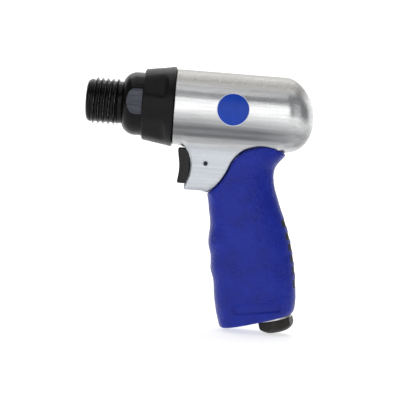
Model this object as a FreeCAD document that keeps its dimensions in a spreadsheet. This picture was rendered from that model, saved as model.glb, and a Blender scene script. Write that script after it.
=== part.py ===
import FreeCAD, Part
import math
import os
import Sketcher

# Pneumatic air hammer, pistol grip, 150 mm class.
# Row frame, millimetres: the origin is on the barrel axis where the straight wall of the chisel bore begins,
# the nose points along -X, +Z is up and the handle hangs towards -Z.

V = FreeCAD.Vector
doc = FreeCAD.newDocument("air_hammer")
sheet = doc.addObject("Spreadsheet::Sheet", "Spec")

VALUES = [
    # cylinder (steel), turned about the barrel axis
    ("nose_face", -1.0), ("nose_r", 11.2), ("shank_r", 5.15), ("shank_len", 33.0), ("mouth_r", 6.15),
    ("thread_major_r", 15.3), ("thread_start", 2.4), ("thread_end", 19.6), ("thread_pitch", 3.4), ("thread_cut_r", 1.5),
    ("neck_r", 13.8), ("shoulder_ball_r", 9.5), ("shoulder_r", 20.8), ("shoulder_x", 31.5), ("neck_x", 22.35),
    ("cyl_step", 45.6), ("spigot_r", 18.0), ("spigot_end", 59.0), ("cyl_tail_r", 16.0), ("cyl_end", 113.0),
    ("piston_bore_r", 9.5), ("spanner_half", 19.0), ("spanner_start", 21.0), ("spanner_end", 36.1), ("port_r", 2.2), ("port_x", 80.0),
    ("ring_groove_x", 104.0), ("ring_groove_w", 2.2), ("ring_groove_r", 14.6),
    # housing
    ("body_r", 24.8), ("collar_front", 36.4), ("collar_rear", 56.6), ("housing_front", 46.4), ("housing_spigot_r", 21.5),
    ("dome_start", 128.5), ("dome_len", 20.2), ("annulus_r", 20.5), ("annulus_end", 100.0), ("valve_bore_r", 16.1),
    ("valve_bore_end", 124.0), ("valve_chamber_r", 9.0), ("valve_chamber_end", 130.0),
    ("block_half", 12.5), ("pocket_half", 7.3), ("pocket_back", 74.4), ("pocket_top", -25.8), ("pocket_bottom", -50.3),
    ("slide_half", 4.4), ("slide_back", 88.6), ("throttle_z", -36.0), ("throttle_bore_r", 6.0), ("throttle_bore_end", 112.0),
    ("pin_x", 80.0), ("pin_r", 1.0), ("pin_len", 22.6), ("exhaust_x", 62.6), ("exhaust_r", 2.0), ("passage_r", 2.8),
    # handle frame: origin on the air inlet face, its own +Z up the handle
    ("inlet_x", 133.73), ("inlet_z", -133.08), ("rake", 16.2), ("core_wall", 3.5), ("core_floor", 3.0),
    ("boss_r", 12.6), ("washer_t", 0.9), ("stem_r", 8.5), ("stem_len", 18.0), ("hex_flats", 21.0), ("hex_turn", 14.0), ("hex_len", 9.7),
    ("hex_ball_r", 16.9), ("mouth_s", -9.25), ("bore_bottom", -8.5), ("bore_top", 3.4), ("screen_r", 5.15), ("inlet_bore_r", 5.72), ("inlet_depth", 12.0), ("inlet_way_r", 4.0), ("inlet_passage_r", 5.0),
    # collar
    ("collar_in_r", 21.6), ("collar_nose_r", 23.3), ("collar_land_r", 25.9), ("collar_lip_r", 26.1), ("lip_x", 54.0), ("facet_low", 22.3),
    ("facet_high", 24.3), ("facet_end", 51.4), ("facet_turn", 62.5),
    # moving parts
    ("piston_r", 9.46), ("piston_front", 36.0), ("piston_len", 35.0),
    ("disc_x", 116.3), ("disc_t", 1.4), ("disc_r", 11.0), ("disc_bore_r", 3.0),
    ("trigger_half", 7.0), ("trigger_back", 70.0), ("trigger_stem_half", 4.0), ("trigger_stem_end", 84.0), ("pin_slot_r", 1.15),
    ("pin_slot_front", 74.6), ("pin_slot_rear", 81.3),
    ("valve_stem_r", 2.4), ("valve_stem_front", 84.3), ("valve_head_x", 101.9), ("valve_head_t", 2.5), ("valve_head_r", 4.6),
    ("seal_t", 1.2), ("seal_r", 4.4), ("bushing_front", 89.0), ("bushing_rear", 100.4), ("bushing_in_r", 2.6),
    ("spring_r", 3.4), ("spring_wire", 0.4), ("spring_pitch", 1.75), ("spring_len", 6.6),
    # small parts
    ("badge_x", 94.8), ("badge_z", -0.9), ("badge_r", 10.5), ("badge_t", 0.3),
    ("seat_t", 3.0), ("seat_r", 15.9), ("seat_bore_r", 3.2), ("rear_seat_len", 6.0), ("cavity_r", 11.4), ("cavity_len", 2.8),
    ("dowel_r", 1.2), ("dowel_at", 12.9), ("dowel_front", 109.0), ("dowel_len", 11.0),
]
for row, (name, value) in enumerate(VALUES, start=1):
    sheet.set("A%d" % row, name.replace("_", " "))
    sheet.set("B%d" % row, str(value))
    sheet.setAlias("B%d" % row, name)
doc.recompute()


class Q:
    """A size with its value and the spreadsheet expression that drives it."""

    def __init__(self, value, text):
        self.v, self.t = float(value), text

    def _two(self, other, sign):
        o = other if isinstance(other, Q) else Q(other, repr(float(other)))
        value = {"+": self.v + o.v, "-": self.v - o.v, "*": self.v * o.v}[sign]
        return Q(value, "(%s %s %s)" % (self.t or repr(self.v), sign, o.t or repr(o.v)))

    def __add__(self, other):
        return self._two(other, "+")

    def __sub__(self, other):
        return self._two(other, "-")

    def __mul__(self, other):
        return self._two(other, "*")

    def __neg__(self):
        return Q(-self.v, "(0 - %s)" % self.t)


NUM = dict(VALUES)


def D(name):
    return Q(NUM[name], "Spec." + name)


def q(value):
    return value if isinstance(value, Q) else Q(value, None)


def new_body(label, place=None):
    body = doc.addObject("PartDesign::Body", label)
    body.Label = label
    body.Placement = place or FreeCAD.Placement()
    return body


def plane(body, role):
    return [o for o in body.Origin.OriginFeatures if o.Role == role][0]


def new_sketch(body, name, role, offset=None):
    sk = body.newObject("Sketcher::SketchObject", name)
    sk.AttachmentSupport = [(plane(body, role), "")]
    sk.MapMode = "FlatFace"
    if offset is not None:
        sk.AttachmentOffset = offset
    return sk


def bind(sk, index, tag, size):
    if size.t:
        sk.renameConstraint(index, tag)
        sk.setExpression(".Constraints." + tag, size.t)


def outline(sk, points, tag="p"):
    """A closed outline. Each point is (x, y), or (x, y, radius, cx, cy, ccw) when an arc arrives at it."""
    pts = [tuple(q(c) if i < 3 else c for i, c in enumerate(p)) for p in points]
    first = sk.GeometryCount
    count = len(pts)
    ends = []
    for i in range(count):
        a, b = pts[i - 1], pts[i]
        va, vb = V(a[0].v, a[1].v, 0), V(b[0].v, b[1].v, 0)
        if len(b) > 2:
            cx, cy, ccw = b[3], b[4], b[5]
            circle = Part.Circle(V(cx, cy, 0), V(0, 0, 1), b[2].v)
            ta, tb = math.atan2(a[1].v - cy, a[0].v - cx), math.atan2(b[1].v - cy, b[0].v - cx)
            if ccw:
                sk.addGeometry(Part.ArcOfCircle(circle, ta, tb if tb > ta else tb + 2 * math.pi), False)
                ends.append((1, 2))
            else:
                sk.addGeometry(Part.ArcOfCircle(circle, tb, ta if ta > tb else ta + 2 * math.pi), False)
                ends.append((2, 1))
        else:
            sk.addGeometry(Part.LineSegment(va, vb), False)
            ends.append((1, 2))
    for i in range(count):
        j = (i + 1) % count
        sk.addConstraint(Sketcher.Constraint("Coincident", first + i, ends[i][1], first + j, ends[j][0]))
    for i in range(count):
        for k, kind in ((0, "DistanceX"), (1, "DistanceY")):
            size = pts[i][k]
            if abs(size.v) < 1e-9 and size.t is None:
                axis = -2 if k == 0 else -1
                sk.addConstraint(Sketcher.Constraint("PointOnObject", first + i, ends[i][1], axis))
                continue
            c = sk.addConstraint(Sketcher.Constraint(kind, -1, 1, first + i, ends[i][1], size.v))
            bind(sk, c, "%s%d_%s" % (tag, i, "xy"[k]), size)
        if len(pts[i]) > 2:
            c = sk.addConstraint(Sketcher.Constraint("Radius", first + i, pts[i][2].v))
            bind(sk, c, "%s%d_r" % (tag, i), pts[i][2])


def ring(sk, x, y, radius, tag):
    x, y, radius = q(x), q(y), q(radius)
    g = sk.addGeometry(Part.Circle(V(x.v, y.v, 0), V(0, 0, 1), radius.v), False)
    c = sk.addConstraint(Sketcher.Constraint("Radius", g, radius.v))
    bind(sk, c, tag + "_r", radius)
    for k, (kind, size) in enumerate((("DistanceX", x), ("DistanceY", y))):
        if abs(size.v) < 1e-9 and size.t is None:
            sk.addConstraint(Sketcher.Constraint("PointOnObject", g, 3, -2 if k == 0 else -1))
        else:
            c = sk.addConstraint(Sketcher.Constraint(kind, -1, 1, g, 3, size.v))
            bind(sk, c, "%s_%d" % (tag, k), size)


def turn(body, name, points, groove=False, role="XZ_Plane", axis="H_Axis"):
    sk = new_sketch(body, name + "_profile", role)
    outline(sk, points)
    doc.recompute()
    f = body.newObject("PartDesign::Groove" if groove else "PartDesign::Revolution", name)
    f.Profile = sk
    f.ReferenceAxis = (sk, [axis])
    f.Angle = 360.0
    doc.recompute()
    return f


def extrude(body, name, sk, length, cut=False, symmetric=True, reverse=False):
    doc.recompute()
    before = body.Shape.Volume if cut else 0.0
    f = body.newObject("PartDesign::Pocket" if cut else "PartDesign::Pad", name)
    f.Profile = sk
    size = q(length)
    f.Length = size.v
    if size.t:
        f.setExpression("Length", size.t)
    if symmetric:
        f.SideType = "Symmetric"
    f.Reversed = reverse
    doc.recompute()
    if cut and not body.Shape.Volume < before - 1e-6:
        raise RuntimeError(name + " cut nothing")
    return f


def placed(kind, name, place, **sizes):
    o = doc.addObject(kind, name)
    for key, size in sizes.items():
        size = q(size)
        setattr(o, key, size.v)
        if size.t:
            o.setExpression(key, size.t)
    o.Placement = place
    return o


def join(name, kind, base, tool):
    o = doc.addObject(kind, name)
    if kind == "Part::MultiFuse":
        o.Shapes = base
    else:
        o.Base, o.Tool = base, tool
    doc.recompute()
    return o


ALONG_X = FreeCAD.Rotation(V(0, 1, 0), 90)
HANDLE = FreeCAD.Placement(V(NUM["inlet_x"], 0, NUM["inlet_z"]), FreeCAD.Rotation(V(0, 1, 0), -NUM["rake"]))


def cyl_x(name, x, z, radius, length, y=0.0):
    return placed("Part::Cylinder", name, FreeCAD.Placement(V(q(x).v, y, q(z).v), ALONG_X), Radius=radius, Height=length)


def ring_x(label, x, length, r_in, r_out, place=None):
    """A plain ring turned about the barrel axis, or about the body's own X axis."""
    body = new_body(label, place)
    x, length = q(x), q(length)
    end = x + length if x.t else q(x.v + length.v)
    turn(body, label + "_turned", [(x, r_in), (x, r_out), (end, r_out), (end, r_in)])
    return body


nodes = {}

# ---------------------------------------------------------------- cylinder
cylinder = new_body("cylinder")
turn(cylinder, "cylinder_turned", [
    (D("nose_face"), D("mouth_r")), (D("nose_face"), D("nose_r")), (0.1, 13.0), (1.5, 13.7), (D("thread_start"), D("thread_major_r")),
    (D("thread_end"), D("thread_major_r")), (D("thread_end"), D("neck_r")), (D("neck_x"), D("neck_r")),
    (D("shoulder_x"), D("shoulder_r"), D("shoulder_ball_r"), 31.5, 11.3, False),
    (D("cyl_step"), D("shoulder_r")), (D("cyl_step"), D("spigot_r")), (D("spigot_end"), D("spigot_r")),
    (D("spigot_end"), D("cyl_tail_r")), (D("cyl_end"), D("cyl_tail_r")), (D("cyl_end"), D("piston_bore_r")),
    (D("shank_len"), D("piston_bore_r")), (D("shank_len"), D("shank_r")), (0.0, D("shank_r")),
])
sk = new_sketch(cylinder, "spanner_flats", "XY_Plane")
for side, tag in ((1, "up"), (-1, "dn")):
    low = D("spanner_half") if side > 0 else -D("spanner_half")
    outline(sk, [(D("spanner_start"), low), (D("spanner_end"), low), (D("spanner_end"), 24.0 * side), (D("spanner_start"), 24.0 * side)], tag)
extrude(cylinder, "spanner_cut", sk, 60.0, cut=True)
sk = new_sketch(cylinder, "side_ports", "XZ_Plane")
ring(sk, D("port_x"), 0.0, D("port_r"), "port")
extrude(cylinder, "side_port_holes", sk, 40.0, cut=True)
sk = new_sketch(cylinder, "top_ports", "XY_Plane")
ring(sk, D("port_x"), 0.0, D("port_r"), "port")
extrude(cylinder, "top_port_holes", sk, 40.0, cut=True)
gx, gw = D("ring_groove_x"), D("ring_groove_w") * 0.5
turn(cylinder, "seal_groove", [(gx - gw, D("ring_groove_r")), (gx - gw, 17.0), (gx + gw, 17.0), (gx + gw, D("ring_groove_r"))], groove=True)
sk = new_sketch(cylinder, "dowel_hole", "YZ_Plane", FreeCAD.Placement(V(0, 0, NUM["dowel_front"] - 0.2), FreeCAD.Rotation()))
ring(sk, 0.0, D("dowel_at"), D("dowel_r") + 0.02, "dowel")
extrude(cylinder, "dowel_hole_cut", sk, 12.0, cut=True, symmetric=False, reverse=True)
# retainer thread: round-bottomed grooves at the thread's pitch
sk = new_sketch(cylinder, "thread_form", "XZ_Plane")
ring(sk, D("thread_start") + 0.35, D("thread_major_r") - 0.1, D("thread_cut_r"), "thread")
doc.recompute()
before = cylinder.Shape.Volume
cut = cylinder.newObject("PartDesign::Groove", "thread_groove")
cut.Profile = sk
cut.ReferenceAxis = (sk, ["H_Axis"])
cut.Angle = 360.0
doc.recompute()
thread = cylinder.newObject("PartDesign::LinearPattern", "retainer_thread")
thread.Originals = [cut]
thread.Direction = (plane(cylinder, "X_Axis"), [""])
thread.Occurrences = 5
thread.Length = NUM["thread_pitch"] * 4
thread.setExpression("Length", "Spec.thread_pitch * 4")
cylinder.Tip = thread
doc.recompute()
if not cylinder.Shape.Volume < before - 500 or not cylinder.Shape.isValid():
    raise RuntimeError("thread cut nothing")
nodes["cylinder"] = cylinder

# ---------------------------------------------------------------- front collar and the parts under it
collar = new_body("front_collar", FreeCAD.Placement(V(), FreeCAD.Rotation(V(1, 0, 0), NUM["facet_turn"])))
turn(collar, "collar_turned", [
    (D("collar_front"), D("shoulder_r") + 0.1), (D("collar_front"), D("collar_nose_r") - 0.9), (D("collar_front") + 0.8, D("collar_nose_r")),
    (D("lip_x") - 0.8, D("collar_land_r")), (D("lip_x"), D("collar_lip_r")), (D("collar_rear") - 0.5, D("collar_lip_r")),
    (D("collar_rear") - 0.05, D("collar_lip_r") - 0.5), (D("collar_rear") - 0.05, D("collar_in_r")),
    (D("cyl_step"), D("collar_in_r")), (D("cyl_step"), D("shoulder_r") + 0.1)])
turn(collar, "collar_ring_groove", [(53.1, 21.0), (53.1, 22.4), (54.5, 22.4), (54.5, 21.0)], groove=True)
sk = new_sketch(collar, "facet_form", "XZ_Plane")
outline(sk, [(D("collar_front") - 1.0, D("facet_low")), (D("facet_end") - 2.6, D("facet_high")),
             (D("facet_end"), D("facet_high") + 3.0, 3.2, 48.25, 27.33, True), (D("collar_front") - 1.0, D("facet_high") + 3.0)])
extrude(collar, "facet", sk, 40.0, cut=True)
facets = collar.newObject("PartDesign::PolarPattern", "facets")
facets.Originals = [doc.getObject("facet")]
facets.Axis = (plane(collar, "X_Axis"), [""])
facets.Angle = 360.0
facets.Occurrences = 5
collar.Tip = facets
doc.recompute()
nodes["front_collar"] = collar
nodes["collar_retaining_ring"] = ring_x("collar_retaining_ring", 53.2, 1.2, 20.95, 22.3)
nodes["lock_washer"] = ring_x("lock_washer", D("cyl_step"), 0.8, D("spigot_r") + 0.1, D("shoulder_r") - 0.1)
nodes["cylinder_o_ring"] = placed("Part::Torus", "cylinder_o_ring", FreeCAD.Placement(V(NUM["ring_groove_x"], 0, 0), ALONG_X), Radius1=15.35, Radius2=0.74)

# ---------------------------------------------------------------- housing: solid form first, then its bores
barrel = new_body("barrel_form")
turn(barrel, "barrel_turned", [
    (D("housing_front"), 0.0), (D("housing_front"), D("housing_spigot_r")), (D("collar_rear"), D("housing_spigot_r")),
    (D("collar_rear"), D("body_r")), (D("dome_start"), D("body_r")),
    (133.8, 24.0), (138.7, 20.9), (142.4, 16.9), (145.4, 12.0), (147.4, 7.4), (D("dome_start") + D("dome_len"), 2.4),
    (D("dome_start") + D("dome_len"), 0.0)])
block = new_body("block_form")
sk = new_sketch(block, "block_side", "XZ_Plane")
outline(sk, [
    (66.4, -18.0), (66.4, -27.0), (68.3, -30.1), (69.7, -33.9), (70.2, -37.1), (70.2, -41.0), (69.6, -44.9), (67.6, -50.2),
    (67.0, -50.7), (67.3, -54.0), (78.5, -53.8), (82.0, -54.9), (85.1, -52.8), (88.2, -50.2), (91.2, -46.7), (94.2, -41.8), (95.9, -38.0), (97.5, -34.2),
    (99.9, -30.7), (103.0, -27.8), (106.1, -25.9), (109.4, -24.7), (113.9, -23.3), (113.9, -18.0)])
extrude(block, "block_pad", sk, D("block_half") * 2.0)

# handle sections: height up the handle, front edge, rear edge, half-width of the grip
SECTIONS = [
    (0.0, -36.6, 12.4, 15.6), (2.6, -37.5, 14.0, 16.8), (12.0, -37.4, 16.3, 17.2), (26.0, -36.0, 18.9, 17.6), (40.0, -34.9, 19.9, 18.0), (55.0, -33.4, 19.8, 18.0),
    (70.0, -29.6, 18.2, 17.2), (84.0, -27.7, 17.0, 16.2), (92.0, -27.4, 17.9, 15.8), (97.0, -27.2, 20.6, 15.6), (101.5, -27.0, 26.0, 15.6), (105.0, -26.6, 29.6, 15.6), (114.0, -26.0, 31.0, 15.6)]


def handle_loft(name, inset, floor):
    sections = []
    for i, (up, front, rear, half) in enumerate(SECTIONS):
        if floor and i == 0:
            continue
        if floor and i == 1:
            up = floor
        e = doc.addObject("Part::Ellipse", "%s_section_%d" % (name, i))
        e.MajorRadius, e.MinorRadius = (rear - front) / 2 - inset, half - inset
        if inset:
            e.setExpression("MajorRadius", "%s - Spec.core_wall" % ((rear - front) / 2))
            e.setExpression("MinorRadius", "%s - Spec.core_wall" % half)
        e.Placement = HANDLE.multiply(FreeCAD.Placement(V((rear + front) / 2, 0, up), FreeCAD.Rotation()))
        sections.append(e)
    loft = doc.addObject("Part::Loft", name)
    loft.Sections = sections
    loft.Solid = True
    doc.recompute()
    return loft


core = handle_loft("core_form", NUM["core_wall"], NUM["core_floor"])
boss = placed("Part::Cylinder", "inlet_boss", HANDLE.multiply(FreeCAD.Placement(V(0, 0, 0), FreeCAD.Rotation())), Radius=10.4, Height=12.0)
housing_form = join("housing_form", "Part::MultiFuse", [barrel, block, core, boss], None)

bores = new_body("bore_stack")
turn(bores, "bore_stack_turned", [
    (D("housing_front") - 2.0, 0.0), (D("housing_front") - 2.0, D("spigot_r") + 0.05), (D("spigot_end"), D("spigot_r") + 0.05),
    (D("spigot_end"), D("annulus_r")), (D("annulus_end"), D("annulus_r")), (D("annulus_end"), D("valve_bore_r")),
    (D("valve_bore_end"), D("valve_bore_r")), (D("valve_bore_end"), D("valve_chamber_r")),
    (D("valve_chamber_end"), D("valve_chamber_r")), (D("valve_chamber_end"), 0.0)])
ring_cut = new_body("ring_cut")
turn(ring_cut, "ring_cut_turned", [(53.1, 20.9), (53.1, 23.0), (54.5, 23.0), (54.5, 20.9)])
pocket = new_body("trigger_pocket")
sk = new_sketch(pocket, "pocket_side", "XZ_Plane")
outline(sk, [(55.0, D("pocket_top")), (D("pocket_back"), D("pocket_top")), (D("pocket_back"), D("pocket_bottom")), (55.0, D("pocket_bottom"))])
extrude(pocket, "pocket_pad", sk, D("pocket_half") * 2.0)
slide = new_body("slide_pocket")
sk = new_sketch(slide, "slide_side", "XZ_Plane")
outline(sk, [(70.0, D("throttle_z") - 4.4), (D("slide_back"), D("throttle_z") - 4.4), (D("slide_back"), D("throttle_z") + 4.4), (70.0, D("throttle_z") + 4.4)])
extrude(slide, "slide_pad", sk, D("slide_half") * 2.0)
throttle_bore = cyl_x("throttle_bore", D("slide_back") - 0.1, D("throttle_z"), D("throttle_bore_r"), D("throttle_bore_end") - D("slide_back") + 0.1)
inlet = new_body("inlet_way", HANDLE)
turn(inlet, "inlet_way_turned", [(0.0, -1.0), (D("stem_r") + 0.02, -1.0), (D("stem_r") + 0.02, D("stem_len") + 0.3), (D("inlet_passage_r"), D("stem_len") + 2.3),
                                 (D("inlet_passage_r"), 101.0), (0.0, 101.0)], axis="V_Axis")
slope = math.degrees(math.atan2(-20.5 + 33.0, 127.0 - 95.0))
way_1 = placed("Part::Cylinder", "feed_way", FreeCAD.Placement(V(95, 0, -33), FreeCAD.Rotation(V(0, 1, 0), 90 - slope)), Radius=D("passage_r"), Height=33.0)
way_2 = placed("Part::Cylinder", "feed_riser", FreeCAD.Placement(V(126.6, 0, -23.0), FreeCAD.Rotation()), Radius=D("passage_r") + 0.5, Height=17.5)
exhaust = placed("Part::Cylinder", "exhaust_port", FreeCAD.Placement(V(NUM["exhaust_x"], 0, -28), FreeCAD.Rotation()), Radius=D("exhaust_r"), Height=9.0)
pin_hole = placed("Part::Cylinder", "pin_hole", FreeCAD.Placement(V(NUM["pin_x"], 15, NUM["throttle_z"]), FreeCAD.Rotation(V(1, 0, 0), 90)), Radius=D("pin_r") + 0.02, Height=30.0)
tools = join("housing_bores", "Part::MultiFuse", [bores, ring_cut, pocket, slide, throttle_bore, inlet, way_1, way_2, exhaust, pin_hole], None)
housing = join("housing", "Part::Cut", housing_form, tools)
nodes["housing"] = housing

# ---------------------------------------------------------------- rubber grip sleeve
grip_form = handle_loft("grip_form", 0.0, 0.0)
over = new_body("grip_top_trim")
sk = new_sketch(over, "grip_top_side", "XZ_Plane")
outline(sk, [
    (60.0, -54.9), (82.0, -54.9), (85.1, -52.8), (88.2, -50.2), (91.2, -46.7), (94.2, -41.8), (95.9, -38.0), (97.5, -34.2), (99.9, -30.7),
    (103.0, -27.8), (106.1, -25.9), (109.4, -24.7), (113.9, -23.3), (119.1, -22.6), (123.8, -22.9), (127.8, -23.9), (131.4, -25.3), (134.0, -27.0), (150.0, -27.0), (150.0, 10.0), (60.0, 10.0)])
extrude(over, "grip_top_pad", sk, 60.0)
grip_trimmed = join("grip_trimmed", "Part::Cut", grip_form, over)
slots = []
for i, (sx, sz) in enumerate(((134.2, -70.9), (137.5, -78.6), (139.9, -85.7), (141.9, -93.4), (143.4, -100.8), (144.6, -109.6))):
    slots.append(placed("Part::Box", "back_slot_%d" % i, FreeCAD.Placement(V(sx - 1.6, -7.5, sz - 2.0), FreeCAD.Rotation(V(0, 1, 0), -12)), Length=6.0, Width=15.0, Height=4.0))
frames = []
for side in (-1, 1):
    frames.append(placed("Part::Box", "cartouche_%s" % ("right" if side > 0 else "left"),
                         FreeCAD.Placement(V(105.5, side * 17.6 - 1.0, -131.6), FreeCAD.Rotation(V(0, 1, 0), -8.3)), Length=30.0, Width=2.0, Height=5.6))
grip_cuts = join("grip_cuts", "Part::MultiFuse", slots + frames, None)
grip_cut = join("grip_cut", "Part::Cut", grip_trimmed, grip_cuts)
grip = join("grip_sleeve", "Part::Cut", grip_cut, housing_form)
nodes["grip_sleeve"] = grip

# ---------------------------------------------------------------- air inlet
inlet_seat = new_body("inlet_washer", HANDLE)
turn(inlet_seat, "inlet_washer_turned", [(D("stem_r") + 0.1, -D("washer_t")), (11.4, -D("washer_t")), (11.4, 0.0), (D("stem_r") + 0.1, 0.0)], axis="V_Axis")
nodes["inlet_washer"] = inlet_seat
bush = new_body("bushing_turned_form", HANDLE)
end = -(D("washer_t") + D("hex_len"))
turn(bush, "bushing_turned", [
    (D("inlet_bore_r") + 0.9, D("mouth_s")), (12.2, -5.395, D("hex_ball_r"), 0.0, 6.3, True), (12.2, -D("washer_t")), (D("stem_r"), -D("washer_t")),
    (D("stem_r"), 14.2), (7.6, 14.2), (7.6, 15.9), (D("stem_r"), 15.9), (D("stem_r"), D("stem_len")), (D("inlet_way_r"), D("stem_len")),
    (D("inlet_way_r"), D("bore_top") + 1.0), (D("screen_r") + 0.06, D("bore_top") + 1.0), (D("screen_r") + 0.06, D("bore_top")),
    (D("inlet_bore_r"), D("bore_top")), (D("inlet_bore_r"), D("bore_bottom"))], axis="V_Axis")
hexed = doc.addObject("Part::Prism", "hex_form")
hexed.Polygon = 6
hexed.Circumradius = NUM["hex_flats"] / math.sqrt(3)
hexed.setExpression("Circumradius", "Spec.hex_flats / sqrt(3)")
hexed.Height = 12.0
hexed.Placement = HANDLE.multiply(FreeCAD.Placement(V(0, 0, end.v - 1.0), FreeCAD.Rotation(V(0, 0, 1), NUM["hex_turn"])))
stem_keep = placed("Part::Cylinder", "stem_keep", HANDLE.multiply(FreeCAD.Placement(V(0, 0, -1.5), FreeCAD.Rotation())), Radius=D("stem_r") + 0.5, Height=22.0)
keep = join("bushing_keep", "Part::MultiFuse", [hexed, stem_keep], None)
bushing = join("inlet_bushing", "Part::Common", bush, keep)
nodes["inlet_bushing"] = bushing
nodes["bushing_o_ring"] = placed("Part::Torus", "bushing_o_ring", HANDLE.multiply(FreeCAD.Placement(V(0, 0, 15.05), FreeCAD.Rotation())), Radius1=8.06, Radius2=0.44)
screen = new_body("inlet_strainer", HANDLE)
turn(screen, "strainer_turned", [(0.0, D("bore_top") + 0.15), (D("screen_r"), D("bore_top") + 0.15), (D("screen_r"), D("bore_top") + 0.95), (0.0, D("bore_top") + 0.95)], axis="V_Axis")
sk = new_sketch(screen, "strainer_holes", "XY_Plane")
for i in range(-3, 4):
    for j in range(-3, 4):
        if i * i + j * j <= 9:
            ring(sk, i * 1.3, j * 1.3, 0.42, "mesh_%d_%d" % (i + 3, j + 3))
extrude(screen, "strainer_mesh", sk, 16.0, cut=True)
nodes["inlet_strainer"] = screen

# ---------------------------------------------------------------- valve pack behind the cylinder
front_seat = new_body("front_valve_seat")
turn(front_seat, "front_seat_turned", [(D("cyl_end"), D("seat_bore_r")), (D("cyl_end"), D("seat_r")), (D("cyl_end") + D("seat_t"), D("seat_r")), (D("cyl_end") + D("seat_t"), D("seat_bore_r"))])
sk = new_sketch(front_seat, "front_seat_dowel", "YZ_Plane", FreeCAD.Placement(V(0, 0, 112), FreeCAD.Rotation()))
ring(sk, 0.0, D("dowel_at"), D("dowel_r") + 0.02, "dowel")
extrude(front_seat, "front_seat_dowel_cut", sk, 8.0, cut=True, symmetric=False, reverse=True)
nodes["front_valve_seat"] = front_seat
rear_seat = new_body("rear_valve_seat")
x0 = D("cyl_end") + D("seat_t")
turn(rear_seat, "rear_seat_turned", [
    (x0, D("cavity_r")), (x0, D("seat_r")), (x0 + D("rear_seat_len"), D("seat_r")), (x0 + D("rear_seat_len"), D("seat_bore_r")),
    (x0 + D("cavity_len"), D("seat_bore_r")), (x0 + D("cavity_len"), D("cavity_r"))])
sk = new_sketch(rear_seat, "rear_seat_dowel", "YZ_Plane", FreeCAD.Placement(V(0, 0, 115), FreeCAD.Rotation()))
ring(sk, 0.0, D("dowel_at"), D("dowel_r") + 0.02, "dowel")
extrude(rear_seat, "rear_seat_dowel_cut", sk, 5.2, cut=True, symmetric=False, reverse=True)
nodes["rear_valve_seat"] = rear_seat
nodes["valve_dowel_pin"] = cyl_x("valve_dowel_pin", D("dowel_front"), D("dowel_at"), D("dowel_r"), D("dowel_len"))
nodes["valve_wave_washer"] = ring_x("valve_wave_washer", 122.0, 2.0, 12.0, 15.6)
nodes["valve_disc"] = ring_x("valve_disc", D("disc_x"), D("disc_t"), D("disc_bore_r"), D("disc_r"))

# ---------------------------------------------------------------- piston
piston = new_body("piston")
p0, p1 = D("piston_front"), D("piston_front") + D("piston_len")
turn(piston, "piston_turned", [
    (p0, 0.0), (p0, 4.6), (p0 + 1.2, 5.4), (p0 + 5.0, 5.4), (p0 + 6.6, D("piston_r")), (p0 + 15.0, D("piston_r")), (p0 + 15.6, D("piston_r") - 0.6), (p0 + 17.0, D("piston_r") - 0.6),
    (p0 + 17.6, D("piston_r")), (p1 - 0.8, D("piston_r")), (p1, D("piston_r") - 0.8), (p1, 0.0)])
nodes["piston"] = piston

# ---------------------------------------------------------------- trigger and throttle
trigger = new_body("trigger")
sk = new_sketch(trigger, "trigger_side", "XZ_Plane")
outline(sk, [
    (62.4, -26.4), (61.35, -27.6), (62.1, -49.0, 70.0, -7.148, -40.763, False), (63.3, -49.9), (D("trigger_back"), -49.9),
    (D("trigger_back"), D("throttle_z") - 4.0), (D("trigger_stem_end"), D("throttle_z") - 4.0), (D("trigger_stem_end"), D("throttle_z") + 4.0),
    (D("trigger_back"), D("throttle_z") + 4.0), (D("trigger_back"), -26.4)])
extrude(trigger, "trigger_pad", sk, D("trigger_half") * 2.0)
sk = new_sketch(trigger, "stem_sides", "XY_Plane", FreeCAD.Placement(V(0, 0, NUM["throttle_z"]), FreeCAD.Rotation()))
for side, tag in ((1, "up"), (-1, "dn")):
    near = D("trigger_stem_half") if side > 0 else -D("trigger_stem_half")
    outline(sk, [(D("trigger_back"), near), (D("trigger_stem_end") + 1.0, near), (D("trigger_stem_end") + 1.0, 9.0 * side), (D("trigger_back"), 9.0 * side)], tag)
extrude(trigger, "stem_cut", sk, 12.0, cut=True)
sk = new_sketch(trigger, "pin_slot", "XZ_Plane")
r = D("pin_slot_r")
outline(sk, [
    (D("pin_slot_front"), D("throttle_z") - r), (D("pin_slot_rear"), D("throttle_z") - r),
    (D("pin_slot_rear"), D("throttle_z") + r), (D("pin_slot_front"), D("throttle_z") + r)])
extrude(trigger, "pin_slot_cut", sk, 20.0, cut=True)
nodes["trigger"] = trigger
nodes["trigger_pin"] = placed("Part::Cylinder", "trigger_pin", FreeCAD.Placement(V(NUM["pin_x"], NUM["pin_len"] / 2, NUM["throttle_z"]), FreeCAD.Rotation(V(1, 0, 0), 90)), Radius=D("pin_r"), Height=D("pin_len"))

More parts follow.
